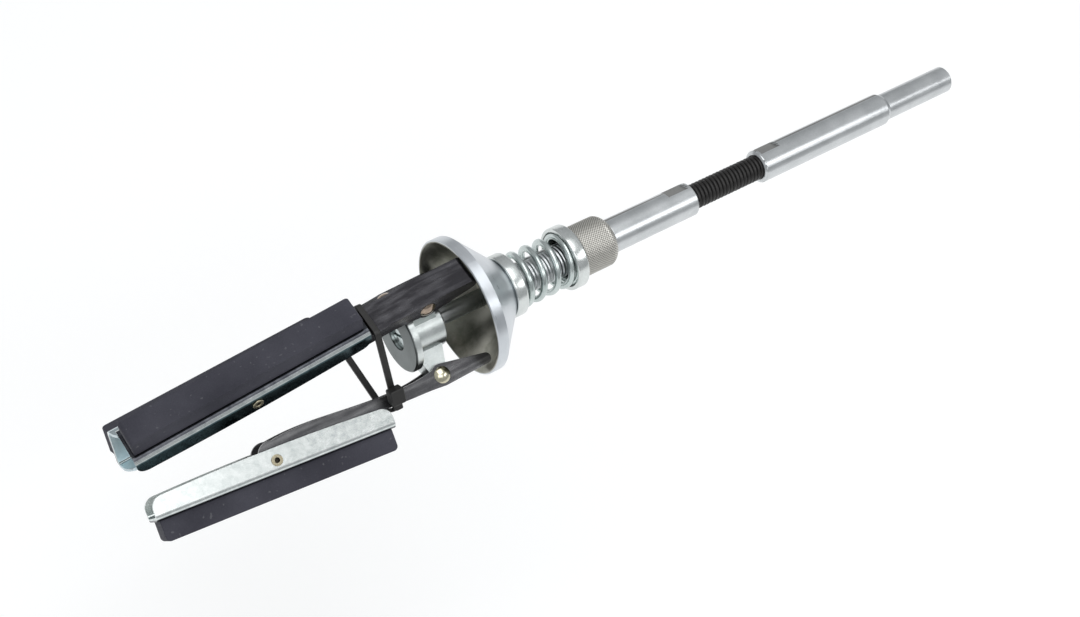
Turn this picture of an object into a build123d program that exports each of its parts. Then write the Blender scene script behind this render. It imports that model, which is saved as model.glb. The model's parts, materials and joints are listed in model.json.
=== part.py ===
from build123d import *
import os
from math import cos, radians, sin

# Three-leg engine cylinder hone with a flexible drive, in millimetres.
# The tool lies along X: the shank points to -X, the stones to +X, and leg 2 stands up along +Z.
# The origin is on the tool axis where the shank meets its sleeve, at the face of a chuck's jaws.

# Drive shank and its sleeve
shank_radius = 5.0
shank_length = 33.0
shank_chamfer = 0.9
sleeve_radius = 6.0
sleeve_shoulder = 2.0
sleeve_edge = 0.8
drive_sleeve_length = 62.6
socket_depth = 18.0
crimp_length = 8.7
crimp_depth = 0.8
crimp_setback = 1.6
crimp_azimuth = -63.4

# Flexible shaft
coil_radius = 4.55
coil_bore = 3.0
coil_pitch = 1.6
coil_groove = 0.55
coil_shown = 30.5
coil_fit = 0.05
core_clearance = 0.2
socket_end_gap = 0.3

# Spindle: sleeve, thick threaded bar inside the nut and the spring, thin rod from there to the hub
spindle_sleeve_length = 36.5
bar_radius = 5.6
bar_gap = 0.4
rod_radius = 3.0
slide_fit = 0.1

# Adjusting nut and spring seat
nut_gap = 0.3
nut_length = 13.7
nut_radius = 9.1
nut_round = 2.6
nut_neck = 0.8
seat_radius = 11.55
seat_length = 5.8
seat_edge = 0.6
seat_recess_radius = 10.0
seat_recess_depth = 3.0

# Compression spring and the ring in front of it
spring_radius = 9.6
spring_wire = 2.0
spring_turns = 4.5
spring_shown = 21.0
spring_gap = 0.1
ring_radius = 10.0
ring_length = 3.4
ring_edge = 0.5

# Bell
bell_groove = 0.6
bell_groove_radius = 9.2
bell_length = 15.7
bell_neck_radius = 10.7
bell_band = 3.8
bell_wall = 0.9
bell_mouth_radius = 22.7
bell_back_wall = 2.6
bell_edge = 0.3

# Hub, seen from its leg pivots
pivot_from_mouth = 16.4
pivot_radius = 16.75
hub_back_reach = 7.0
hub_front_reach = 7.0
hub_radius = 8.5
hub_disc_radius = 12.4
hub_disc_thickness = 2.5
hub_edge = 0.5
hub_fit = 0.02
lug_clearance = 0.3
lug_root = 10.0
lug_sink = 1.5

# Screw in the front of the hub
screw_head_radius = 4.3
screw_head_length = 2.0
screw_recess_depth = 3.2
screw_recess_fit = 0.3
screw_shank_radius = 1.9
screw_shank_length = 7.0
screw_slot_width = 1.1
screw_slot_depth = 1.0

# Legs
leg_width = 10.0
leg_sheet = 1.1
knuckle_radius = 3.65
tip_reach = 16.0
tip_lift = 1.6
tip_radius = 1.8
arm_length = 60.0
neck_reach = 12.0
neck_top = 2.5
neck_bottom = -1.9
waist_reach = 30.0
waist_top = 0.9
waist_bottom = -3.6
lobe_drop = -2.0
lobe_radius = 4.3

# Pivot rivets of the legs
pin_radius = 1.5
pin_fit = 0.05
pin_head_radius = 2.75
pin_head_height = 1.0
pin_head_gap = 0.1
press_gap = 0.01

# Stone holders
holder_width = 13.3
holder_sheet = 1.0
holder_bend = 2.1
holder_length = 78.0
holder_back = 4.05
holder_wall_middle = 3.9
holder_wall_end = 2.8
holder_corner = 3.6
rivet_radius = 1.25
rivet_fit = 0.05
rivet_head_radius = 1.8
rivet_head_height = 0.5
rivet_bore = 0.8
rivet_bore_depth = 1.4

# Stones
stone_length = 76.0
stone_width = 8.6
stone_height = 6.75
stone_corner = 1.5

# Rest pose, with the tie round the legs: azimuth of each leg, its spread and its holder's tilt
leg_azimuths = (120.0, 0.0, -120.0)
leg_angles = (1.0, -4.5, -4.0)
holder_angles = (-4.7, -8.5, -7.0)

# Cable tie
tie_gap = 0.9
tie_width = 2.6
tie_thickness = 1.1
tie_slack = 0.45
tie_head_length = 5.2
tie_head_width = 4.8
tie_head_height = 3.6
tie_head_share = 0.2
tie_tail = 2.4

# Stations along the axis
coil_start = drive_sleeve_length
coil_end = coil_start + coil_shown
sleeve_front = coil_end + spindle_sleeve_length
nut_back = sleeve_front + nut_gap
seat_back = nut_back + nut_length
seat_front = seat_back + seat_length
seat_floor = seat_front - seat_recess_depth
ring_back = seat_front + spring_shown
ring_front = ring_back + ring_length
bell_back = ring_front + bell_groove
bell_mouth = bell_back + bell_length
pivot_x = bell_mouth + pivot_from_mouth
hub_back = pivot_x - hub_back_reach
hub_front = pivot_x + hub_front_reach
rod_front = hub_front - screw_recess_depth
tie_reach = arm_length - holder_length / 2 - tie_width / 2 - tie_gap
tie_seat = neck_top + (waist_top - neck_top) * (tie_reach - neck_reach) / (waist_reach - neck_reach)
tie_x = pivot_x + tie_reach

# The hub's lugs fill the inside of the legs' knuckles, less the clearance
inside_width = leg_width - 2 * leg_sheet
lug_thickness = inside_width - 2 * lug_clearance
lug_end_radius = knuckle_radius - leg_sheet - lug_clearance

# Side planes: x along the arm or holder, y outwards, origin on its pivot or rivet
hub_planes = []
leg_planes = []
holder_planes = []
for azimuth, leg_angle, holder_angle in zip(leg_azimuths, leg_angles, holder_angles):
    outward = Vector(0, sin(radians(azimuth)), cos(radians(azimuth)))
    across = Vector(1, 0, 0).cross(outward)
    pivot = Vector(pivot_x, 0, 0) + outward * pivot_radius
    leg_run = Vector(cos(radians(leg_angle)), 0, 0) + outward * sin(radians(leg_angle))
    holder_run = Vector(cos(radians(holder_angle)), 0, 0) + outward * sin(radians(holder_angle))
    hub_planes.append(Plane(origin=pivot, x_dir=(1, 0, 0), z_dir=across))
    leg_planes.append(Plane(origin=pivot, x_dir=leg_run, z_dir=across))
    rivet_centre = pivot + leg_run * arm_length
    holder_planes.append(Plane(origin=rivet_centre, x_dir=holder_run, z_dir=across))

os.makedirs("parts", exist_ok=True)

# Drive shank: shank, conical shoulder and sleeve, with a socket for the flexible shaft
with BuildPart() as drive_shank:
    with BuildSketch(Plane.XZ):
        with BuildLine():
            Polyline(
                (-shank_length, 0),
                (-shank_length, shank_radius - shank_chamfer),
                (shank_chamfer - shank_length, shank_radius),
                (0, shank_radius),
                (sleeve_shoulder, sleeve_radius),
                (coil_start - sleeve_edge, sleeve_radius),
                (coil_start, sleeve_radius - sleeve_edge),
                (coil_start, coil_radius + coil_fit),
                (coil_start - socket_depth, coil_radius + coil_fit),
                (coil_start - socket_depth, 0),
                close=True,
            )
        make_face()
    revolve(axis=Axis.X)
    for azimuth in (crimp_azimuth, crimp_azimuth + 180):
        crimp_out = Vector(0, sin(radians(azimuth)), cos(radians(azimuth)))
        crimp_x = coil_start - crimp_setback - crimp_length / 2
        crimp_face = Vector(crimp_x, 0, 0) + crimp_out * (sleeve_radius - crimp_depth)
        with BuildSketch(Plane(origin=crimp_face, x_dir=(1, 0, 0), z_dir=crimp_out)):
            Rectangle(crimp_length, 2 * sleeve_radius)
        extrude(amount=2 * crimp_depth, mode=Mode.SUBTRACT)
drive_shank.part.label = "drive_shank"
export_step(drive_shank.part, "parts/drive_shank.step")

# Flexible shaft: close-wound wire, grooved between its turns where it shows
with BuildPart() as flex_coil:
    coil_length = coil_shown + 2 * (socket_depth - socket_end_gap)
    coil_back = coil_start - socket_depth + socket_end_gap
    with BuildSketch(Plane.YZ.offset(coil_back)):
        Circle(coil_radius)
        Circle(coil_bore, mode=Mode.SUBTRACT)
    extrude(amount=coil_length)
    turn_count = round(coil_shown / coil_pitch)
    with BuildSketch(Plane.XZ):
        for turn in range(turn_count):
            turn_x = coil_start + coil_shown * (turn + 0.5) / turn_count
            with BuildLine():
                Polyline(
                    (turn_x - coil_groove, coil_radius + coil_fit),
                    (turn_x, coil_radius - coil_groove),
                    (turn_x + coil_groove, coil_radius + coil_fit),
                    close=True,
                )
            make_face()
    revolve(axis=Axis.X, mode=Mode.SUBTRACT)
flex_coil.part.label = "flex_coil"
export_step(flex_coil.part, "parts/flex_coil.step")

# Core strand inside the coil
with BuildPart() as flex_core:
    with BuildSketch(Plane.YZ.offset(coil_back)):
        Circle(coil_bore - core_clearance)
    extrude(amount=coil_length)
flex_core.part.label = "flex_core"
export_step(flex_core.part, "parts/flex_core.step")

# Spindle: sleeve with a socket, thick bar, and the guide rod that ends inside the hub
with BuildPart() as spindle:
    with BuildSketch(Plane.XZ):
        with BuildLine():
            Polyline(
                (coil_end, coil_radius + coil_fit),
                (coil_end, sleeve_radius - sleeve_edge),
                (coil_end + sleeve_edge, sleeve_radius),
                (sleeve_front, sleeve_radius),
                (sleeve_front, bar_radius),
                (ring_back - bar_gap, bar_radius),
                (ring_back - bar_gap, rod_radius),
                (rod_front, rod_radius),
                (rod_front, screw_shank_radius + press_gap),
                (rod_front - screw_shank_length - socket_end_gap, screw_shank_radius + press_gap),
                (rod_front - screw_shank_length - socket_end_gap, 0),
                (coil_end + socket_depth, 0),
                (coil_end + socket_depth, coil_radius + coil_fit),
                close=True,
            )
        make_face()
    revolve(axis=Axis.X)
    for azimuth in (crimp_azimuth, crimp_azimuth + 180):
        crimp_out = Vector(0, sin(radians(azimuth)), cos(radians(azimuth)))
        crimp_x = coil_end + crimp_setback + crimp_length / 2
        crimp_face = Vector(crimp_x, 0, 0) + crimp_out * (sleeve_radius - crimp_depth)
        with BuildSketch(Plane(origin=crimp_face, x_dir=(1, 0, 0), z_dir=crimp_out)):
            Rectangle(crimp_length, 2 * sleeve_radius)
        extrude(amount=2 * crimp_depth, mode=Mode.SUBTRACT)
spindle.part.label = "spindle"
export_step(spindle.part, "parts/spindle.step")

# Adjusting nut: round-backed grip with a narrower neck against the seat
with BuildPart() as adjusting_nut:
    with BuildSketch(Plane.XZ):
        with BuildLine():
            Line((nut_back, bar_radius + slide_fit), (nut_back, nut_radius - nut_round))
            RadiusArc(
                (nut_back, nut_radius - nut_round),
                (nut_back + nut_round, nut_radius),
                nut_round,
            )
            Polyline(
                (nut_back + nut_round, nut_radius),
                (seat_back - nut_neck, nut_radius),
                (seat_back - nut_neck, nut_radius - nut_neck),
                (seat_back, nut_radius - nut_neck),
                (seat_back, bar_radius + slide_fit),
                (nut_back, bar_radius + slide_fit),
            )
        make_face()
    revolve(axis=Axis.X)
adjusting_nut.part.label = "adjusting_nut"
export_step(adjusting_nut.part, "parts/adjusting_nut.step")

# Spring seat: flanged cup that the nut pushes along the rod
with BuildPart() as spring_seat:
    with BuildSketch(Plane.XZ):
        with BuildLine():
            Polyline(
                (seat_back, bar_radius + slide_fit),
                (seat_back, seat_radius - seat_edge),
                (seat_back + seat_edge, seat_radius),
                (seat_front - seat_edge, seat_radius),
                (seat_front, seat_radius - seat_edge),
                (seat_front, seat_recess_radius),
                (seat_floor, seat_recess_radius),
                (seat_floor, bar_radius + slide_fit),
                close=True,
            )
        make_face()
    revolve(axis=Axis.X)
spring_seat.part.label = "spring_seat"
export_step(spring_seat.part, "parts/spring_seat.step")

# Compression spring from the seat to the ring
with BuildPart() as compression_spring:
    spring_start = seat_floor + spring_wire / 2 + spring_gap
    spring_end = ring_back - spring_wire / 2 - spring_gap
    with BuildLine() as spring_path:
        Helix(
            pitch=(spring_end - spring_start) / spring_turns,
            height=spring_end - spring_start,
            radius=spring_radius - spring_wire / 2,
            center=(spring_start, 0, 0),
            direction=(1, 0, 0),
        )
    with BuildSketch(Plane(origin=spring_path.line @ 0, z_dir=spring_path.line % 0)):
        Circle(spring_wire / 2)
    sweep(path=spring_path.line, is_frenet=True)
compression_spring.part.label = "compression_spring"
export_step(compression_spring.part, "parts/compression_spring.step")

# Ring between the spring and the bell
with BuildPart() as spring_ring:
    with BuildSketch(Plane.YZ.offset(ring_back)):
        Circle(ring_radius)
        Circle(rod_radius + slide_fit, mode=Mode.SUBTRACT)
    extrude(amount=ring_length)
    ring_edges = spring_ring.edges().filter_by(GeomType.CIRCLE).sort_by(SortBy.RADIUS)[-2:]
    chamfer(ring_edges, ring_edge)
spring_ring.part.label = "spring_ring"
export_step(spring_ring.part, "parts/spring_ring.step")

# Bell: neck, cone and straight band outside, a 45 degree cone inside
with BuildPart() as bell:
    inner_floor = bell_back + bell_back_wall
    inner_floor_radius = bell_mouth_radius - (bell_mouth - inner_floor)
    band_radius = bell_mouth_radius + bell_wall
    with BuildSketch(Plane.XZ):
        with BuildLine():
            Polyline(
                (ring_front, rod_radius + slide_fit),
                (ring_front, bell_groove_radius),
                (bell_back, bell_groove_radius),
                (bell_back, bell_neck_radius),
                (bell_mouth - bell_band, band_radius),
                (bell_mouth - bell_edge, band_radius),
                (bell_mouth, band_radius - bell_edge),
                (bell_mouth, bell_mouth_radius),
                (inner_floor, inner_floor_radius),
                (inner_floor, rod_radius + slide_fit),
                close=True,
            )
        make_face()
    revolve(axis=Axis.X)
bell.part.label = "bell"
export_step(bell.part, "parts/bell.step")

# Hub: boss, front disc and three lugs that stand between the cheeks of the legs
with BuildPart() as hub:
    with BuildSketch(Plane.XZ):
        with BuildLine():
            Polyline(
                (hub_back, rod_radius + hub_fit),
                (hub_back, hub_radius - hub_edge),
                (hub_back + hub_edge, hub_radius),
                (hub_front - hub_disc_thickness, hub_radius),
                (hub_front - hub_disc_thickness, hub_disc_radius),
                (hub_front - hub_edge, hub_disc_radius),
                (hub_front, hub_disc_radius - hub_edge),
                (hub_front, screw_head_radius + screw_recess_fit),
                (rod_front, screw_head_radius + screw_recess_fit),
                (rod_front, rod_radius + hub_fit),
                close=True,
            )
        make_face()
    revolve(axis=Axis.X)
    for plane in hub_planes:
        with BuildSketch(plane.offset(-lug_thickness / 2)):
            Circle(lug_end_radius)
            with Locations((0, hub_radius - lug_sink - pivot_radius)):
                Rectangle(lug_root, lug_sink)
            make_hull()
            Circle(pin_radius + press_gap, mode=Mode.SUBTRACT)
        extrude(amount=lug_thickness)
hub.part.label = "hub"
export_step(hub.part, "parts/hub.step")

# Slotted screw that holds the hub on the rod
with BuildPart() as hub_screw:
    with BuildSketch(Plane.YZ.offset(rod_front)):
        Circle(screw_head_radius)
    extrude(amount=screw_head_length)
    with BuildSketch(Plane.YZ.offset(rod_front)):
        Circle(screw_shank_radius)
    extrude(amount=-screw_shank_length)
    with BuildSketch(Plane.YZ.offset(rod_front + screw_head_length)):
        Rectangle(2 * screw_head_radius, screw_slot_width, rotation=35)
    extrude(amount=-screw_slot_depth, mode=Mode.SUBTRACT)
hub_screw.part.label = "hub_screw"
export_step(hub_screw.part, "parts/hub_screw.step")

# Side outline of a leg: a short arm to the bell, a knuckle, a curved long arm and a round end
with BuildSketch() as short_arm:
    Circle(knuckle_radius)
    with Locations((-tip_reach, tip_lift)):
        Circle(tip_radius)
    make_hull()
with BuildSketch() as leg_outline:
    with BuildLine():
        top_edge = Spline(
            (0, knuckle_radius - 0.6),
            (neck_reach, neck_top),
            (waist_reach, waist_top),
            (arm_length, lobe_drop + lobe_radius - 0.4),
        )
        bottom_edge = Spline(
            (0, 0.6 - knuckle_radius),
            (neck_reach, neck_bottom),
            (waist_reach, waist_bottom),
            (arm_length, lobe_drop - lobe_radius + 0.4),
        )
        Line(top_edge @ 0, bottom_edge @ 0)
        Line(top_edge @ 1, bottom_edge @ 1)
    make_face()
    with Locations((arm_length, lobe_drop)):
        Circle(lobe_radius)
    add(short_arm.sketch)

# Legs: channels with the web on the outside, open inwards where the hub's lug stands
for number, plane in enumerate(leg_planes, 1):
    with BuildPart() as leg:
        with BuildSketch(plane.offset(-leg_width / 2)):
            add(leg_outline.sketch)
        extrude(amount=leg_width)
        with BuildSketch(plane.offset(-inside_width / 2)):
            add(leg_outline.sketch.moved(Location((0, -leg_sheet, 0))))
        extrude(amount=inside_width, mode=Mode.SUBTRACT)
        with BuildSketch(plane.offset(-leg_width / 2)):
            Circle(pin_radius + pin_fit)
            with Locations((arm_length, 0)):
                Circle(rivet_radius + rivet_fit)
        extrude(amount=leg_width, mode=Mode.SUBTRACT)
    leg.part.label = f"leg_{number}"
    export_step(leg.part, f"parts/leg_{number}.step")

# Pivot rivets: shank through the lug, domed heads outside the cheeks
for number, plane in enumerate(hub_planes, 1):
    with BuildPart() as leg_pin:
        pin_half = leg_width / 2 + pin_head_gap
        with BuildSketch(plane.offset(-pin_half)):
            Circle(pin_radius)
        extrude(amount=2 * pin_half)
        with BuildSketch(plane.offset(pin_half)):
            Circle(pin_head_radius)
        extrude(amount=pin_head_height)
        with BuildSketch(plane.offset(-pin_half)):
            Circle(pin_head_radius)
        extrude(amount=-pin_head_height)
        head_faces = leg_pin.faces().filter_by(GeomType.PLANE).sort_by(Axis((0, 0, 0), plane.z_dir))
        fillet([head_faces[0].edges()[0], head_faces[-1].edges()[0]], 0.85 * pin_head_height)
    leg_pin.part.label = f"leg_pin_{number}"
    export_step(leg_pin.part, f"parts/leg_pin_{number}.step")

# Stone holders: channels of folded sheet, lower and rounded at the ends of their walls
for number, plane in enumerate(holder_planes, 1):
    with BuildPart() as stone_holder:
        end_point = plane.origin + plane.x_dir * (holder_length / 2)
        with BuildSketch(Plane(origin=end_point, x_dir=plane.z_dir, z_dir=-plane.x_dir)):
            section_height = holder_back + holder_wall_middle
            section_middle = (holder_back - holder_wall_middle) / 2
            with Locations((0, section_middle)):
                Rectangle(holder_width, section_height)
            fillet(vertices().group_by(Axis.Y)[-1], holder_bend)
        extrude(amount=holder_length)
        with BuildSketch(Plane(origin=end_point, x_dir=plane.z_dir, z_dir=-plane.x_dir)) as inside:
            with Locations((0, section_middle - holder_sheet)):
                Rectangle(holder_width - 2 * holder_sheet, section_height)
            fillet(vertices().group_by(Axis.Y)[-1], holder_bend - holder_sheet)
        extrude(amount=holder_length, mode=Mode.SUBTRACT)
        with BuildSketch(plane.offset(-holder_width)) as side_view:
            with BuildLine():
                ThreePointArc(
                    (-holder_length / 2, -holder_wall_end),
                    (0, -holder_wall_middle),
                    (holder_length / 2, -holder_wall_end),
                )
                Polyline(
                    (holder_length / 2, -holder_wall_end),
                    (holder_length / 2, holder_back),
                    (-holder_length / 2, holder_back),
                    (-holder_length / 2, -holder_wall_end),
                )
            make_face()
            fillet(vertices().group_by(Axis.Y)[0], holder_corner)
        extrude(amount=2 * holder_width, mode=Mode.INTERSECT)
        with BuildSketch(plane.offset(-holder_width)):
            Circle(rivet_radius + press_gap)
        extrude(amount=2 * holder_width, mode=Mode.SUBTRACT)
    stone_holder.part.label = f"stone_holder_{number}"
    export_step(stone_holder.part, f"parts/stone_holder_{number}.step")

# Tubular rivets through holder and leg
for number, plane in enumerate(holder_planes, 1):
    with BuildPart() as holder_rivet:
        rivet_half = holder_width / 2
        with BuildSketch(plane.offset(-rivet_half)):
            Circle(rivet_radius)
        extrude(amount=2 * rivet_half)
        for side in (1, -1):
            with BuildSketch(plane.offset(side * rivet_half)):
                Circle(rivet_head_radius)
            extrude(amount=side * rivet_head_height)
            with BuildSketch(plane.offset(side * (rivet_half + rivet_head_height))):
                Circle(rivet_bore)
            extrude(amount=-side * rivet_bore_depth, mode=Mode.SUBTRACT)
    holder_rivet.part.label = f"holder_rivet_{number}"
    export_step(holder_rivet.part, f"parts/holder_rivet_{number}.step")

# Stones, bonded to the backs of the holders
for number, plane in enumerate(holder_planes, 1):
    with BuildPart() as stone:
        with BuildSketch(plane.offset(-stone_width / 2)):
            with Locations((0, holder_back + stone_height / 2)):
                Rectangle(stone_length, stone_height)
            fillet(vertices().group_by(Axis.Y)[-1], stone_corner)
        extrude(amount=stone_width)
    stone.part.label = f"stone_{number}"
    export_step(stone.part, f"parts/stone_{number}.step")

# Cable tie round the legs: strap, then the head on the run between legs 1 and 2
strap_corners = []
for plane in leg_planes:
    for side in (-1, 1):
        corner = plane.from_local_coords((tie_reach, tie_seat, side * leg_width / 2))
        strap_corners.append((corner.Y, corner.Z))
with BuildPart() as tie_strap:
    with BuildSketch(Plane.YZ.offset(tie_x - tie_width / 2)):
        with BuildLine():
            Polyline(*strap_corners, close=True)
        strap_inside = make_hull()
        offset(strap_inside, amount=tie_slack + tie_thickness, mode=Mode.REPLACE)
        offset(strap_inside, amount=tie_slack, mode=Mode.SUBTRACT)
    extrude(amount=tie_width)
tie_strap.part.label = "tie_strap"
export_step(tie_strap.part, "parts/tie_strap.step")

with BuildPart() as tie_head:
    run_start = Vector(tie_x, *max(strap_corners[:2], key=lambda point: point[1]))
    run_end = Vector(tie_x, *max(strap_corners[2:4]))
    run = (run_end - run_start).normalized()
    head_out = run.cross(Vector(1, 0, 0))
    head_seat = tie_slack + tie_thickness
    head_point = run_start + (run_end - run_start) * tie_head_share + head_out * head_seat
    with BuildSketch(Plane(origin=head_point, x_dir=(1, 0, 0), z_dir=head_out)):
        RectangleRounded(tie_head_width, tie_head_length, 0.6)
    extrude(amount=tie_head_height)
    tail_point = head_point - run * tie_head_length / 2 + head_out * (tie_head_height / 2)
    with BuildSketch(Plane(origin=tail_point, x_dir=(1, 0, 0), z_dir=-run)):
        Rectangle(tie_width, tie_thickness)
    extrude(amount=tie_tail)
tie_head.part.label = "tie_head"
export_step(tie_head.part, "parts/tie_head.step")
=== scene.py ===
import json
import math

import bpy
from mathutils import Matrix, Vector


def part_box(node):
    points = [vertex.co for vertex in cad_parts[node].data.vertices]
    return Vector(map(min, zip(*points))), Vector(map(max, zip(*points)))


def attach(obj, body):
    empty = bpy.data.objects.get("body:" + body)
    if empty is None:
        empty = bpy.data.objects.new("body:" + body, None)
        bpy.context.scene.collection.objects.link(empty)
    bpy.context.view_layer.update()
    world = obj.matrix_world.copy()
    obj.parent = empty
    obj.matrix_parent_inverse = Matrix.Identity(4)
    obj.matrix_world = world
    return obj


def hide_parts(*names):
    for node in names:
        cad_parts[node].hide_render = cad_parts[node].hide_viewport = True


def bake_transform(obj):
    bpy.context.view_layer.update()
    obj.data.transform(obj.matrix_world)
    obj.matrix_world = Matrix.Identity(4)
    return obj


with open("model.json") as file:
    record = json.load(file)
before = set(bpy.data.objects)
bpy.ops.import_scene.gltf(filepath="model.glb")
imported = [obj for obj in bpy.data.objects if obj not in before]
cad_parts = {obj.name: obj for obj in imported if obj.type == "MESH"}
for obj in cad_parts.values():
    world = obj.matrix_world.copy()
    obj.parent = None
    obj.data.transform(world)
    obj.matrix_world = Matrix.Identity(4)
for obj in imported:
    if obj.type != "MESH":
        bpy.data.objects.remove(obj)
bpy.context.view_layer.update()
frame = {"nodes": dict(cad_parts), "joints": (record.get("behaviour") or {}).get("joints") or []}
nodes = frame["nodes"]
bpy.ops.object.select_all(action="DESELECT")


# The view. The tool is seen from above its stone end, on the side of legs 1 and 2, and the shank
# runs away to the upper right. The frame is 1080 by 617, and the lens was fitted to the outlines of
# bell, sleeves and holders.
camera_place = Vector((0.3869, 0.2204, 0.4132))
view_right = Vector((-0.8120, 0.5640, 0.1501)).normalized()
view_ahead = Vector((-0.4303, -0.4048, -0.8068)).normalized()
view_ahead = (view_ahead - view_right * view_ahead.dot(view_right)).normalized()
view_up = view_right.cross(view_ahead)
camera_data = bpy.data.cameras.new("view_camera")
camera_data.lens = 52.43
camera_data.sensor_width = 36.0
camera_data.clip_start = 0.01
camera = bpy.data.objects.new("view_camera", camera_data)
bpy.context.scene.collection.objects.link(camera)
view_turn = Matrix((view_right, view_up, -view_ahead)).transposed().to_4x4()
camera.matrix_world = Matrix.Translation(camera_place) @ view_turn
bpy.context.scene.camera = camera
bpy.context.scene.view_settings.view_transform = "Standard"


# Floor and light. A pale seamless sheet, low enough for every bend of the tool, under an even grey
# sky that keeps plated steel in its middle greys. A strip on the near side draws the bright line
# along the sleeves, a soft box whitens the near holder, and a large box overhead lights the rest.
floor_size = 6.0
floor_centre = (0.12, 0.0, -0.15)


# A Reading is one number or colour over a surface, so that shader maths is written as plain sums,
# and a Finish is a material that grows its own nodes.
class Reading:
    def __init__(self, finish, socket):
        self.finish = finish
        self.socket = socket

    def __add__(self, other):
        return self.finish.maths("ADD", self, other)

    def __radd__(self, other):
        return self.finish.maths("ADD", other, self)

    def __sub__(self, other):
        return self.finish.maths("SUBTRACT", self, other)

    def __rsub__(self, other):
        return self.finish.maths("SUBTRACT", other, self)

    def __mul__(self, other):
        return self.finish.maths("MULTIPLY", self, other)

    def __rmul__(self, other):
        return self.finish.maths("MULTIPLY", other, self)


class Finish:
    def __init__(self, name, **constants):
        self.material = bpy.data.materials.new(name)
        self.material.use_nodes = True
        self.nodes = self.material.node_tree.nodes
        self.links = self.material.node_tree.links
        self.shader = self.nodes["Principled BSDF"]
        for socket, value in constants.items():
            self.shader.inputs[socket.replace("_", " ")].default_value = value

    def grow(self, kind, settings=None, output=0, inputs=(), **sockets):
        node = self.nodes.new(kind)
        for key, value in (settings or {}).items():
            if key == "stops":
                for element, (position, shade) in zip(node.color_ramp.elements, value):
                    element.position = position
                    element.color = (shade, shade, shade, 1.0)
            else:
                setattr(node, key, value)
        wanted = [(node.inputs[place], value) for place, value in inputs]
        wanted += [(node.inputs[name.replace("_", " ")], value) for name, value in sockets.items()]
        for socket, value in wanted:
            if isinstance(value, Reading):
                self.links.new(value.socket, socket)
            else:
                socket.default_value = value
        return Reading(self, node.outputs[output])

    def maths(self, operation, *values):
        return self.grow("ShaderNodeMath", {"operation": operation}, inputs=enumerate(values))

    def place(self, stretch=(1.0, 1.0, 1.0)):
        spot = self.grow("ShaderNodeTexCoord", output="Object")
        return self.grow("ShaderNodeMapping", Vector=spot, Scale=stretch)

    def axes(self):
        spot = self.place()
        return [self.grow("ShaderNodeSeparateXYZ", output=axis, Vector=spot) for axis in "XYZ"]

    def noise(self, scale, detail=3.0, roughness=0.5, stretch=(1.0, 1.0, 1.0)):
        where = self.place(stretch)
        return self.grow(
            "ShaderNodeTexNoise", Vector=where, Scale=scale, Detail=detail, Roughness=roughness
        )

    def steps(self, value, *stops):
        return self.grow("ShaderNodeValToRGB", {"stops": stops}, Fac=value)

    def beyond(self, reading, edge, steepness):
        return self.steps((reading - edge) * steepness, (0.0, 0.0), (1.0, 1.0))

    def mix(self, share, dark, light):
        inputs = ((0, share), (6, dark), (7, light))
        return self.grow("ShaderNodeMix", {"data_type": "RGBA"}, output=2, inputs=inputs)

    def colour(self, value):
        self.links.new(value.socket, self.shader.inputs["Base Color"])

    def rough(self, value):
        self.links.new(value.socket, self.shader.inputs["Roughness"])

    def relief(self, height, depth):
        bump = self.grow("ShaderNodeBump", Height=height, Distance=depth, Strength=1.0)
        self.links.new(bump.socket, self.shader.inputs["Normal"])


bpy.ops.mesh.primitive_plane_add(size=floor_size, location=floor_centre)
floor = bpy.context.object
floor.name = "floor"
sheet = Finish("pale_sheet", Roughness=0.9, Specular_IOR_Level=0.05, Emission_Strength=0.5)
sheet.colour(sheet.mix(sheet.noise(3.0), (0.53, 0.54, 0.54, 1), (0.56, 0.56, 0.56, 1)))
floor.data.materials.append(sheet.material)

sky = bpy.data.worlds.new("sky")
bpy.context.scene.world = sky
sky.use_nodes = True
sky_nodes = sky.node_tree.nodes
sky_links = sky.node_tree.links
sky_spot = sky_nodes.new("ShaderNodeTexCoord")
sky_axes = sky_nodes.new("ShaderNodeSeparateXYZ")
sky_ramp = sky_nodes.new("ShaderNodeValToRGB")
horizon, zenith = sky_ramp.color_ramp.elements
horizon.position = 0.0
horizon.color = (0.40, 0.41, 0.42, 1)
zenith.position = 1.0
zenith.color = (0.60, 0.61, 0.62, 1)
sky_links.new(sky_spot.outputs["Generated"], sky_axes.inputs[0])
sky_links.new(sky_axes.outputs["Z"], sky_ramp.inputs["Fac"])
sky_links.new(sky_ramp.outputs["Color"], sky_nodes["Background"].inputs["Color"])
sky_nodes["Background"].inputs["Strength"].default_value = 1.0


def soft_lamp(name, place, aim, width, depth, glow):
    lamp_data = bpy.data.lights.new(name, "AREA")
    lamp_data.shape = "RECTANGLE"
    lamp_data.size = width
    lamp_data.size_y = depth
    lamp_data.energy = glow * math.pi * width * depth
    lamp = bpy.data.objects.new(name, lamp_data)
    bpy.context.scene.collection.objects.link(lamp)
    lamp.location = place
    lamp.rotation_euler = (Vector(aim) - Vector(place)).to_track_quat("-Z", "Y").to_euler()


soft_lamp("strip_lamp", (-0.55, 0.75, 0.78), (0.10, 0, 0), 0.55, 0.36, 3.0)
soft_lamp("near_lamp", (0.47, 0.75, 0.95), (0.30, 0, 0), 0.90, 0.50, 1.7)
soft_lamp("top_lamp", (0.10, 0.00, 1.50), (0.10, 0, 0), 1.20, 1.20, 1.9)


# Drive shank and spindle. Each is one bar of steel, turned, drilled for the flexible shaft, pinched
# flat on it on two sides and zinc plated: satin grey, with the flats painted dark grey as a painted
# reflection. The bar inside nut and spring is threaded. The flats are turned from where the solids
# have them to where they show.
def select_only(piece):
    bpy.ops.object.select_all(action="DESELECT")
    piece.select_set(True)
    bpy.context.view_layer.objects.active = piece


def smooth(piece, angle):
    select_only(piece)
    bpy.ops.object.shade_smooth_by_angle(angle=math.radians(angle))


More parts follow.
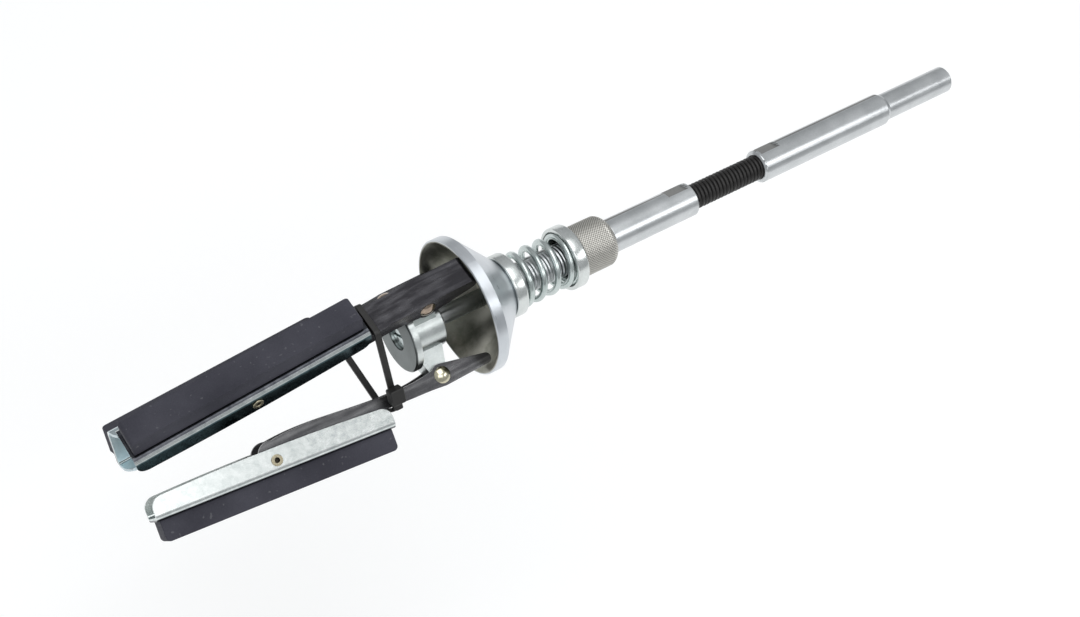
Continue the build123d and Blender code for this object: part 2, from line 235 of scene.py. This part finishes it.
def formed_copy(name, radius, angle=35.0, reshape=None):
    piece = bpy.data.objects.new(f"{name}_formed", nodes[name].data.copy())
    bpy.context.scene.collection.objects.link(piece)
    select_only(piece)
    bpy.ops.object.mode_set(mode="EDIT")
    bpy.ops.mesh.select_all(action="SELECT")
    bpy.ops.mesh.remove_doubles(threshold=weld_reach)
    bpy.ops.mesh.dissolve_limited(angle_limit=math.radians(flat_angle))
    bpy.ops.object.mode_set(mode="OBJECT")
    if reshape:
        for vertex in piece.data.vertices:
            vertex.co = reshape(vertex.co)
    rounding = piece.modifiers.new("rounding", "BEVEL")
    rounding.width = radius
    rounding.segments = 3
    rounding.limit_method = "ANGLE"
    rounding.angle_limit = math.radians(edge_angle)
    bpy.ops.object.modifier_apply(modifier="rounding")
    smooth(piece, angle)
    walls = piece.modifiers.new("flat_walls", "WEIGHTED_NORMAL")
    walls.keep_sharp = True
    bpy.ops.object.modifier_apply(modifier="flat_walls")
    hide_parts(name)
    return piece


def finish_piece(piece, material, body):
    piece.data.materials.clear()
    piece.data.materials.append(material)
    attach(piece, body)


def paint_faces(piece, material, chosen):
    piece.data.materials.append(material)
    for face in piece.data.polygons:
        if chosen(face):
            face.material_index = 1


def turned_zinc(name, dark, light, roughness, thread=None):
    finish = Finish(name, Metallic=1.0)
    rings = finish.noise(40.0, stretch=(90.0, 2.0, 2.0))
    cloud = finish.noise(120.0, 4.0)
    grain = finish.noise(1800.0, 2.0)
    share = cloud * 0.7 + grain * 0.3
    finish.colour(finish.mix(finish.steps(share, (0.3, 0.0), (0.7, 1.0)), dark, light))
    finish.rough(cloud * 0.12 + rings * 0.04 + (roughness - 0.08))
    marks = rings * 0.3 + grain * 0.7
    if thread is None:
        finish.relief(marks, 0.000012)
    else:
        thread_from, thread_to, thread_pitch = thread
        along, side, height = finish.axes()
        turn = finish.maths("ARCTAN2", side, height)
        crest = finish.maths("SINE", along * (2 * math.pi / thread_pitch) + turn)
        after = finish.maths("GREATER_THAN", along, thread_from)
        before = finish.maths("LESS_THAN", along, thread_to)
        finish.relief(crest * after * before * 0.5 + marks * 0.06, 0.0002)
    return finish.material


def turn_crimps(point):
    return crimp_turn @ point


def on_crimp(face):
    faces_out = abs(face.normal.dot(crimp_out)) > crimp_facing
    return faces_out and abs(face.center.dot(crimp_out)) > crimp_floor


weld_reach = 0.000002
flat_angle = 0.5
edge_angle = 50
crimp_modelled = -63.4
crimp_shift = 27.0
crimp_turn = Matrix.Rotation(math.radians(-crimp_shift), 3, "X")
crimp_azimuth = math.radians(crimp_modelled + crimp_shift)
crimp_out = Vector((0, math.sin(crimp_azimuth), math.cos(crimp_azimuth)))
crimp_floor = 0.0050
crimp_facing = 0.995
sleeve_edge = 0.00025
sleeve_angle = 20.0
bar_start = 0.1297
bar_pitch = 0.00125
sleeve_dark = (0.50, 0.52, 0.53, 1)
sleeve_light = (0.66, 0.68, 0.69, 1)
seat_low, seat_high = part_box("spring_seat")
ring_low, ring_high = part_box("spring_ring")
thread = (bar_start, ring_low.x, bar_pitch)
sleeve_zinc = turned_zinc("sleeve_zinc", sleeve_dark, sleeve_light, 0.30)
threaded_zinc = turned_zinc("threaded_zinc", sleeve_dark, sleeve_light, 0.30, thread)
# The crimp flats get a dark grey: a painted reflection of a dark surround, not a darker plating.
crimp_shade_zinc = turned_zinc("crimp_shade_zinc", (0.17, 0.17, 0.17, 1), (0.25, 0.25, 0.24, 1), 0.34)
shank = formed_copy("drive_shank", sleeve_edge, sleeve_angle, turn_crimps)
finish_piece(shank, sleeve_zinc, "drive")
spindle = formed_copy("spindle", sleeve_edge, sleeve_angle, turn_crimps)
finish_piece(spindle, threaded_zinc, "spindle")
for piece in (shank, spindle):
    paint_faces(piece, crimp_shade_zinc, on_crimp)


# Flexible shaft. Black spring wire wound close on a core strand and gripped in both sleeves. The
# coil is a real helix. Coil and strand are in two halves each, split at their middle.
def wound_wire(name, wire_radius, turn_points, roundness):
    curve = bpy.data.curves.new(name, "CURVE")
    curve.dimensions = "3D"
    curve.bevel_depth = wire_radius
    curve.bevel_resolution = roundness
    curve.use_fill_caps = True
    spline = curve.splines.new("POLY")
    spline.points.add(len(turn_points) - 1)
    for point, spot in zip(spline.points, turn_points):
        point.co = (*spot, 1.0)
    wire = bpy.data.objects.new(name, curve)
    bpy.context.scene.collection.objects.link(wire)
    select_only(wire)
    bpy.ops.object.convert(target="MESH")
    smooth(bpy.context.object, angle=60.0)
    return bpy.context.object


def bend_half(piece, half):
    if half == 0:
        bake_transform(piece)
    else:
        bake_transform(piece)


coil_shown = 0.0305
coil_turns = 19
coil_pitch = coil_shown / coil_turns
coil_wire = 0.00079
turn_steps = 24
coil_low, coil_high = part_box("flex_coil")
coil_reach = (coil_high.y - coil_low.y) / 2 - coil_wire
coil_middle = (coil_low.x + coil_high.x) / 2
black_wire = Finish("black_wire", Metallic=0.55, Specular_IOR_Level=0.45)
soot = black_wire.noise(500.0, 4.0)
black_wire.colour(black_wire.mix(soot, (0.012, 0.012, 0.012, 1), (0.045, 0.043, 0.042, 1)))
black_wire.rough(soot * 0.25 + 0.28)
black_wire.relief(black_wire.noise(3500.0), 0.00002)
coil_ends = ((coil_low.x, coil_middle), (coil_middle, coil_high.x))
for half, (near_x, far_x) in enumerate(coil_ends):
    count = int((far_x - near_x) / coil_pitch * turn_steps)
    points = []
    for step in range(count + 1):
        x = near_x + (far_x - near_x) * step / count
        angle = (x - coil_low.x) / coil_pitch * 2 * math.pi
        x = min(max(x, coil_low.x + coil_wire), coil_high.x - coil_wire)
        points.append((x, coil_reach * math.sin(angle), coil_reach * math.cos(angle)))
    coil_half = wound_wire(f"flex_coil_half_{half + 1}", coil_wire, points, roundness=2)
    coil_half.data.materials.append(black_wire.material)
    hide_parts("flex_coil")
    bend_half(coil_half, half)

core_strand = turned_zinc("core_strand", (0.20, 0.20, 0.20, 1), (0.34, 0.34, 0.33, 1), 0.45)
core_low, core_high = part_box("flex_core")
core_reach = (core_high.y - core_low.y) / 2
core_steps = 24
core_ends = ((core_low.x, coil_middle), (coil_middle, core_high.x))
for half, (near_x, far_x) in enumerate(core_ends):
    step_length = (far_x - near_x) / core_steps
    points = [(near_x + step_length * step, 0.0, 0.0) for step in range(core_steps + 1)]
    core_half = wound_wire(f"flex_core_half_{half + 1}", core_reach, points, roundness=7)
    core_half.data.materials.append(core_strand)
    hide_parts("flex_core")
    bend_half(core_half, half)


# Adjusting nut. Turned steel with a round shoulder at its back and a diamond knurl rolled into its
# grip, plated dull and warm. Each little pyramid is real and shades the grip, and the grooves between
# them are painted darker as painted shade.
def turned_piece(name, outline, steps=96, angle=30.0):
    bpy.ops.object.select_all(action="DESELECT")
    bpy.ops.mesh.primitive_circle_add(vertices=len(outline), radius=0.01)
    piece = bpy.context.object
    piece.name = name
    for vertex, (x, reach) in zip(piece.data.vertices, outline):
        vertex.co = (x, 0.0, reach)
    bpy.ops.object.mode_set(mode="EDIT")
    bpy.ops.mesh.select_all(action="SELECT")
    bpy.ops.mesh.spin(steps=steps, angle=2 * math.pi, center=(0, 0, 0), axis=(1, 0, 0))
    bpy.ops.mesh.select_all(action="SELECT")
    bpy.ops.mesh.remove_doubles(threshold=weld_reach)
    bpy.ops.mesh.dissolve_degenerate(threshold=weld_reach)
    bpy.ops.mesh.delete_loose()
    bpy.ops.mesh.select_all(action="SELECT")
    bpy.ops.mesh.normals_make_consistent(inside=False)
    bpy.ops.object.mode_set(mode="OBJECT")
    smooth(piece, angle)
    return piece


def arc_points(x, reach, radius, start, end, count):
    for step in range(count + 1):
        angle = math.radians(start + (end - start) * step / count)
        yield x + radius * math.cos(angle), reach + radius * math.sin(angle)


nut_low, nut_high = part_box("adjusting_nut")
nut_reach = (nut_high.y - nut_low.y) / 2
bar_bore = 0.0057
seat_shift = 0.0013
seat_from = nut_high.x + seat_shift
nut_round = 0.0034
nut_shoulder = nut_low.x + nut_round
neck_length = 0.0010
neck_depth = 0.0006
neck_lead = 0.0003
knurl_count = 56
knurl_depth = 0.00042
knurl_pitch = 2 * math.pi * nut_reach / knurl_count
row_length = knurl_pitch / 4
row_count = int((seat_from - neck_length - nut_low.x - nut_round) / row_length)
grip_lead = 0.0008
grip_from = nut_shoulder - grip_lead
grip_to = nut_shoulder + row_count * row_length
neck_reach = nut_reach - neck_depth
knurl_floor = nut_reach - 0.0004
slack = 0.00001
nut_outline = [(nut_low.x, bar_bore)]
nut_outline += arc_points(nut_shoulder, nut_reach - nut_round, nut_round, 180, 90, 12)
nut_outline += [(nut_shoulder + row * row_length, nut_reach) for row in range(1, row_count + 1)]
nut_outline += [(grip_to + neck_lead, neck_reach), (seat_from, neck_reach), (seat_from, bar_bore)]
nut_piece = turned_piece("nut_knurled", nut_outline, steps=knurl_count * 4, angle=20.0)
for vertex in nut_piece.data.vertices:
    reach = math.hypot(vertex.co.y, vertex.co.z)
    if grip_from < vertex.co.x < grip_to + slack and reach > knurl_floor:
        turned = math.atan2(vertex.co.y, vertex.co.z) / (2 * math.pi) * knurl_count
        moved = (vertex.co.x - grip_from) / knurl_pitch
        groove = max(abs((turned + moved) % 1 - 0.5), abs((turned - moved) % 1 - 0.5)) * 2
        vertex.co.yz = vertex.co.yz * (1 - groove * knurl_depth / reach)
knurl = Finish("knurled_zinc", Metallic=0.8)
along, side, height = knurl.axes()
turn = knurl.maths("ARCTAN2", side, height) * knurl_count
slope = (along - grip_from) * (2 * math.pi / knurl_pitch)
right_cut = knurl.maths("COSINE", turn + slope)
left_cut = knurl.maths("COSINE", turn - slope)
# The grooves between the pyramids are painted dark and the tips light: painted shade in the cuts.
tips_lit_grooves_shaded = 0.5 - right_cut * 0.25 - left_cut * 0.25
dust = knurl.noise(700.0)
tone = knurl.steps(tips_lit_grooves_shaded * 0.8 + dust * 0.2, (0.20, 0.0), (0.65, 1.0))
knurl.colour(knurl.mix(tone, (0.16, 0.15, 0.135, 1), (0.64, 0.63, 0.59, 1)))
knurl.rough(dust * 0.15 + 0.36)
knurl.relief(dust, 0.00003)
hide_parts("adjusting_nut")
finish_piece(nut_piece, knurl.material, "nut")


# Spring seat and ring. Turned washers in bright zinc: the cup that the nut pushes, and the ring
# that passes the spring's push on to the bell. Their rims are rounded off in the lathe.
def rounded_rim(low_x, high_x, reach, radius, count):
    yield from arc_points(low_x + radius, reach - radius, radius, 180, 90, count)
    yield from arc_points(high_x - radius, reach - radius, radius, 90, 0, count)


bright_zinc = turned_zinc("bright_zinc", (0.55, 0.58, 0.57, 1), (0.72, 0.75, 0.74, 1), 0.22)
seat_trim = 0.0004
seat_round = 0.0006
cup_wall = 0.0013
cup_depth = 0.0030
cup_edge = 0.0002
seat_reach = (seat_high.y - seat_low.y) / 2 - seat_trim
cup_reach = seat_reach - cup_wall
cup_floor = seat_high.x - cup_depth
seat_outline = [(seat_from, bar_bore)]
seat_outline += rounded_rim(seat_from, seat_high.x, seat_reach, seat_round, 5)
seat_outline += [(seat_high.x, cup_reach + cup_edge), (seat_high.x - cup_edge, cup_reach)]
seat_outline += [(cup_floor, cup_reach), (cup_floor, bar_bore)]
seat_piece = turned_piece("seat_turned", seat_outline)
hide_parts("spring_seat")
finish_piece(seat_piece, bright_zinc, "seat")

ring_lead = 0.0012
ring_growth = 0.0010
ring_round = 0.0009
rod_bore = 0.0031
ring_from = ring_low.x - ring_lead
ring_reach = (ring_high.y - ring_low.y) / 2 + ring_growth
ring_outline = [(ring_from, rod_bore)]
ring_outline += rounded_rim(ring_from, ring_high.x, ring_reach, ring_round, 6)
ring_outline += [(ring_high.x, rod_bore)]
ring_piece = turned_piece("ring_turned", ring_outline)
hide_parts("spring_ring")
finish_piece(ring_piece, bright_zinc, "bell")


# Compression spring. Round steel wire with closed ends, zinc plated to a faint green. It is in two
# halves.
spring_low, spring_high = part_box("compression_spring")
spring_wire = 0.00115
spring_gap = 0.0001
spring_reach = (spring_high.y - spring_low.y) / 2 - spring_wire
spring_from = cup_floor + spring_wire + spring_gap
spring_to = ring_from - spring_wire - spring_gap
end_turns = 0.8
end_rise = 0.0015
open_rise = 0.0056
open_turns = (spring_to - spring_from - 2 * end_rise) / open_rise
all_turns = open_turns + 2 * end_turns
first_turn = 0.15
spring_steps = 40
spring_points = []
for step in range(int(all_turns * spring_steps) + 1):
    turned = min(step / spring_steps, all_turns)
    rise = end_rise * min(turned, end_turns) / end_turns
    rise += open_rise * min(max(turned - end_turns, 0), open_turns)
    rise += end_rise * max(turned - end_turns - open_turns, 0) / end_turns
    angle = (turned + first_turn) * 2 * math.pi
    across = (spring_reach * math.sin(angle), spring_reach * math.cos(angle))
    spring_points.append((spring_from + rise, *across))
half_point = len(spring_points) // 2
wire_zinc = turned_zinc("wire_zinc", (0.42, 0.48, 0.47, 1), (0.66, 0.71, 0.70, 1), 0.24)
spring_back = wound_wire("spring_back_half", spring_wire, spring_points[: half_point + 1], roundness=4)
spring_front = wound_wire("spring_front_half", spring_wire, spring_points[half_point:], roundness=4)
for piece in (spring_back, spring_front):
    piece.data.materials.append(wire_zinc)
    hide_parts("compression_spring")
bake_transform(spring_back)
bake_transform(spring_front)


# Bell. A turned steel cup: bright bluish zinc on the cone and band. Its inside is a 45 degree cone,
# painted dark olive as painted shade in its hollow, in lighter and darker patches.
def dress(name, material):
    for slot in nodes[name].material_slots:
        slot.material = material


bell_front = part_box("bell")[1].x
mouth_reach = 0.0227
bell_zinc = Finish("bell_zinc", Metallic=1.0)
bell_rings = bell_zinc.noise(50.0, stretch=(60.0, 1.0, 1.0))
bell_cloud = bell_zinc.noise(90.0, 4.0)
bell_tone = bell_zinc.steps(bell_cloud * 0.8 + bell_rings * 0.2, (0.3, 0.0), (0.7, 1.0))
along, side, height = bell_zinc.axes()
off_axis = bell_zinc.maths("SQRT", side * side + height * height)
from_cone = off_axis - along + (bell_front - mouth_reach)
outside = bell_zinc.steps(from_cone * 1000.0, (0.25, 0.0), (0.50, 1.0))
plated = bell_zinc.mix(bell_tone, (0.50, 0.53, 0.56, 1), (0.68, 0.71, 0.74, 1))
# The inside of the cone is painted dark olive in patches: painted shade in the hollow.
hollow_shade_mottle = bell_zinc.steps(bell_zinc.noise(55.0, 5.0, 0.6), (0.40, 0.0), (0.62, 1.0))
hollow_shade = bell_zinc.mix(hollow_shade_mottle, (0.11, 0.115, 0.09, 1), (0.36, 0.355, 0.31, 1))
bell_zinc.colour(bell_zinc.mix(outside, hollow_shade, plated))
bell_zinc.rough(bell_cloud * 0.18 + bell_rings * 0.08 + 0.18)
bell_zinc.relief(bell_rings, 0.00002)
dress("bell", bell_zinc.material)


# Hub and screw. The hub is turned and milled steel in grey zinc, its three lugs left square. Its
# front disc is painted dark as painted shade, and a slotted screw holds it on the rod.
hub_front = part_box("hub")[1].x
front_depth = 0.0006
hub_zinc = Finish("hub_zinc", Metallic=1.0)
hub_cloud = hub_zinc.noise(160.0, 4.0)
hub_grain = hub_zinc.noise(1600.0)
hub_tone = hub_zinc.steps(hub_cloud * 0.7 + hub_grain * 0.3, (0.3, 0.0), (0.7, 1.0))
# The front disc is painted near black: painted shade on the face turned away from the light.
at_front = hub_zinc.beyond(hub_zinc.axes()[0], hub_front - front_depth, 2500.0)
bare = hub_zinc.mix(hub_tone, (0.50, 0.54, 0.53, 1), (0.72, 0.76, 0.75, 1))
front_disc_shade = hub_zinc.mix(hub_tone, (0.085, 0.10, 0.10, 1), (0.16, 0.18, 0.18, 1))
hub_zinc.colour(hub_zinc.mix(at_front, bare, front_disc_shade))
hub_zinc.rough(hub_cloud * 0.12 + hub_grain * 0.08 + 0.20)
hub_zinc.relief(hub_grain, 0.00003)
dress("hub", hub_zinc.material)
screw_steel = turned_zinc("screw_steel", (0.36, 0.42, 0.42, 1), (0.72, 0.79, 0.79, 1), 0.22)
dress("hub_screw", screw_steel)


# Legs. Channels pressed from steel strip, so their long edges are rounded where the sheet was bent,
# and blackened: a grey black with a dull sheen and pale lengthwise streaks, partly rubs from press
# and barrel and partly a painted sheen.
def directions(joint, degrees):
    outward = Vector(joint["axis"]).cross(tool_axis)
    angle = math.radians(degrees)
    along = tool_axis * math.cos(angle) + outward * math.sin(angle)
    return along, outward * math.cos(angle) - tool_axis * math.sin(angle)


def blackened_steel(name, dark, light):
    finish = Finish(name, Metallic=0.85, Specular_IOR_Level=0.5)
    patches = finish.noise(110.0, 5.0, 0.6)
    # The pale lengthwise streaks are partly rubs and partly a painted sheen, standing in for highlight
    # lines along the legs.
    streaks_and_sheen = finish.noise(700.0, stretch=(0.05, 1.0, 1.0))
    scale_marks = finish.noise(1500.0)
    rubs_and_sheen = finish.steps(patches * 0.35 + streaks_and_sheen * 0.65, (0.44, 0.0), (0.72, 1.0))
    finish.colour(finish.mix(rubs_and_sheen, dark, light))
    finish.rough(patches * 0.10 + scale_marks * 0.06 + 0.17)
    finish.relief(scale_marks * 0.5 + streaks_and_sheen * 0.5, 0.00002)
    return finish.material


tool_axis = Vector((1, 0, 0))
joints = {joint["name"]: joint for joint in frame["joints"]}
knuckle_reach = 0.00365
crease_floor = knuckle_reach * 0.78
crease_from = 0.0001
crease_to = 0.0070
neck_slope = 0.125
leg_edge = 0.00045
leg_angle = 55.0
# Leg 1 gets a lighter black than legs 2 and 3: a lit copy of the same finish, painted light on the leg
# that faces the lamps.
leg_looks = (
    (1, 1.0, (0.085, 0.085, 0.090, 1), (0.240, 0.240, 0.245, 1)),
    (2, -4.5, (0.040, 0.039, 0.044, 1), (0.125, 0.124, 0.134, 1)),
    (3, -4.0, (0.040, 0.039, 0.044, 1), (0.125, 0.124, 0.134, 1)),
)
for number, spread, dark, light in leg_looks:
    joint = joints[f"leg_{number}_spread"]
    pivot = Vector(joint["pos_m"])
    arm, rise = directions(joint, spread)

    def fill_neck(point):
        along_arm = (point - pivot).dot(arm)
        above = (point - pivot).dot(rise)
        neck_line = knuckle_reach - neck_slope * along_arm
        if crease_from < along_arm < crease_to and crease_floor < above < neck_line:
            return point + rise * (neck_line - above)
        return point

    leg = formed_copy(f"leg_{number}", leg_edge, leg_angle, fill_neck)
    leg_finish = blackened_steel(f"blackened_steel_{number}", dark, light)
    finish_piece(leg, leg_finish, f"leg_{number}")


# Pivot rivets. Steel rivets with low domed heads, brassy plated: the near leg's is still pale, and
# the other two have gone brown.
def plated_brass(name, dark, light):
    finish = Finish(name, Metallic=1.0)
    cloud = finish.noise(900.0)
    finish.colour(finish.mix(cloud, dark, light))
    finish.rough(cloud * 0.15 + 0.10)
    finish.relief(cloud, 0.00001)
    return finish.material


pin_half = 0.0051
pin_reach = 0.0015
head_reach = 0.00275
head_rise = 0.00105
dome = (head_reach**2 + head_rise**2) / (2 * head_rise)
dome_edge = math.degrees(math.asin(head_reach / dome))
dome_centre = pin_half + head_rise - dome
pin_outline = list(arc_points(-dome_centre, 0.0, dome, 180, 180 - dome_edge, 8))
pin_outline += [(-pin_half, pin_reach), (pin_half, pin_reach)]
pin_outline += arc_points(dome_centre, 0.0, dome, dome_edge, 0, 8)
pale_brass = plated_brass("pale_brass", (0.46, 0.43, 0.30, 1), (0.74, 0.71, 0.57, 1))
brown_brass = plated_brass("brown_brass", (0.20, 0.15, 0.11, 1), (0.46, 0.38, 0.31, 1))
for number, pin_brass in ((1, pale_brass), (2, brown_brass), (3, brown_brass)):
    joint = joints[f"leg_{number}_spread"]
    pin = turned_piece(f"leg_pin_{number}_domed", pin_outline, steps=32, angle=40.0)
    turned = tool_axis.rotation_difference(Vector(joint["axis"])).to_matrix().to_4x4()
    pin.data.transform(Matrix.Translation(Vector(joint["pos_m"])) @ turned)
    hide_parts(f"leg_pin_{number}")
    finish_piece(pin, pin_brass, "spindle")


# Stone holders. Folded zinc-plated sheet, dappled on the walls, with a painted highlight along the
# bend and the ledge beside the stone painted dark as a painted reflection of the stone. The walls are
# lit and shaded copies of one zinc: the upper holder's are teal zinc painted very dark as painted
# shade, and the far holder's are lighter, its inside painted bright as a painted reflection of the
# lamps.
def folded_zinc(number, tilt, wall_dark, wall_light, roughness):
    swivel = joints[f"holder_{number}_swivel"]
    rivet_spot = Vector(swivel["pos_m"])
    back = directions(swivel, tilt)[1]
    finish = Finish(f"folded_zinc_{number}", Metallic=1.0)
    dapple = finish.noise(420.0, 4.0, 0.6)
    cloud = finish.noise(70.0)
    fine = finish.noise(2200.0, 2.0)
    tone = finish.steps(dapple * 0.75 + cloud * 0.25, (0.38, 0.0), (0.62, 1.0))
    along, side, height = finish.axes()
    from_rivet = along * back.x + side * back.y + height * back.z - back.dot(rivet_spot)
    # The band next to the bend is painted pale: a painted highlight along the bend.
    bend = finish.mix(tone, (0.56, 0.61, 0.61, 1), (0.76, 0.80, 0.79, 1))
    # The ledge beside the stone is painted near black: a painted reflection of the dark stone.
    ledge_reflection = finish.mix(tone, (0.035, 0.037, 0.044, 1), (0.080, 0.084, 0.094, 1))
    above_wall = finish.beyond(from_rivet, bend_from, 2000.0)
    on_ledge = finish.beyond(from_rivet, ledge_from, 3000.0)
    wall = finish.mix(tone, wall_dark, wall_light)
    finish.colour(finish.mix(on_ledge, finish.mix(above_wall, wall, bend), ledge_reflection))
    finish.rough(dapple * 0.06 + cloud * 0.04 + (roughness - 0.05))
    finish.relief(dapple * 0.6 + fine * 0.4, 0.000005)
    return finish.material


def inside_far_holder(face):
    on_low_wall = face.normal.dot(far_up) > wall_facing and face.center.dot(far_up) < 0
    return face.normal.dot(far_out) < -wall_facing or on_low_wall


holder_back = 0.00405
bend_drop = 0.0015
ledge_drop = 0.0007
bend_from = holder_back - bend_drop
ledge_from = holder_back - ledge_drop
holder_edge = 0.00015
wall_facing = 0.9
# The wall colours are lit and shaded copies of one zinc: holder 2's painted very dark teal as painted
# shade, holder 3's lighter.
holder_looks = (
    (1, -4.7, (0.60, 0.64, 0.63, 1), (0.74, 0.77, 0.76, 1), 0.26),
    (2, -8.5, (0.022, 0.045, 0.055, 1), (0.050, 0.085, 0.095, 1), 0.16),
    (3, -7.0, (0.44, 0.52, 0.55, 1), (0.66, 0.73, 0.76, 1), 0.16),
)
holders = {}
for number, tilt, wall_dark, wall_light, roughness in holder_looks:
    holders[number] = formed_copy(f"stone_holder_{number}", holder_edge)
    holder_finish = folded_zinc(number, tilt, wall_dark, wall_light, roughness)
    finish_piece(holders[number], holder_finish, f"holder_{number}")
# Holder 3's inside faces are painted bright cyan: a painted reflection of the lamps.
far_inside_glint = turned_zinc("far_inside_glint", (0.66, 0.84, 0.90, 1), (0.86, 0.95, 0.97, 1), 0.50)
far_out = Vector(joints["holder_3_swivel"]["axis"]).cross(tool_axis)
far_up = far_out.cross(tool_axis)
paint_faces(holders[3], far_inside_glint, inside_far_holder)


# Holder rivets. Hollow steel rivets, their ends rolled over into rings, with a brassy plating and a
# bore painted near black as painted shade.
rivet_zinc = turned_zinc("rivet_zinc", (0.34, 0.30, 0.20, 1), (0.66, 0.61, 0.47, 1), 0.24)
# The bore is painted near black: painted shade down the hollow.
painted_bore_shade = Finish("painted_bore_shade", Metallic=0.4, Specular_IOR_Level=0.3)
bore_shade_mottle = painted_bore_shade.noise(900.0)
painted_bore_shade.colour(painted_bore_shade.mix(bore_shade_mottle, (0.020, 0.016, 0.010, 1), (0.060, 0.048, 0.030, 1)))
painted_bore_shade.rough(bore_shade_mottle * 0.3 + 0.35)
rivet_bore = 0.0008
bore_slack = 0.00002
rivet_edge = 0.00018
for number in (1, 2, 3):
    rivet = formed_copy(f"holder_rivet_{number}", rivet_edge)
    finish_piece(rivet, rivet_zinc, f"holder_{number}")
    rivet_centre = Vector(joints[f"holder_{number}_swivel"]["pos_m"])
    rivet_axis = Vector(joints[f"holder_{number}_swivel"]["axis"]).normalized()

    def in_bore(face):
        offsets = [rivet.data.vertices[index].co - rivet_centre for index in face.vertices]
        reaches = [(offset - rivet_axis * offset.dot(rivet_axis)).length for offset in offsets]
        return max(reaches) < rivet_bore + bore_slack

    paint_faces(rivet, painted_bore_shade.material, in_bore)


# Stones. Fine bonded abrasive, slate grey with a violet cast, sawn flat, its edges a little worn: a
# dense even grain, a few pale grits and faint smears from handling.
abrasive = Finish("grey_abrasive", Specular_IOR_Level=0.25)
smear = abrasive.noise(45.0, 4.0)
grain = abrasive.noise(2600.0, 4.0, 0.7)
grits = abrasive.steps(abrasive.noise(700.0, 1.0), (0.69, 0.0), (0.76, 1.0))
mottle = abrasive.steps(smear * 0.75 + grain * 0.25, (0.36, 0.0), (0.64, 1.0))
body_tone = abrasive.mix(mottle, (0.029, 0.029, 0.040, 1), (0.060, 0.060, 0.076, 1))
abrasive.colour(abrasive.mix(grits * 0.35, body_tone, (0.16, 0.16, 0.17, 1)))
abrasive.rough(smear * 0.2 + 0.60)
abrasive.relief(grain, 0.00008)
stone_edge = 0.0003
for number in (1, 2, 3):
    stone = formed_copy(f"stone_{number}", stone_edge)
    finish_piece(stone, abrasive.material, f"holder_{number}")


# Cable tie. Black nylon, moulded: the strap that holds the legs together for shipping, and its
# head. The strap is a little narrower than the solid.
def narrow_strap(point):
    return Vector((strap_middle + (point.x - strap_middle) * strap_share, point.y, point.z))


nylon = Finish("black_nylon", Specular_IOR_Level=0.5)
nylon_cloud = nylon.noise(400.0)
nylon.colour(nylon.mix(nylon_cloud, (0.006, 0.006, 0.006, 1), (0.016, 0.015, 0.014, 1)))
nylon.rough(nylon_cloud * 0.2 + 0.35)
nylon.relief(nylon_cloud, 0.00004)
strap_low, strap_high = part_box("tie_strap")
strap_middle = (strap_low.x + strap_high.x) / 2
strap_share = 0.82
strap_edge = 0.00025
tie_head_edge = 0.00040
nylon_angle = 40.0
strap = formed_copy("tie_strap", strap_edge, nylon_angle, narrow_strap)
tie_head = formed_copy("tie_head", tie_head_edge, nylon_angle)
for piece in (strap, tie_head):
    finish_piece(piece, nylon.material, "leg_1")
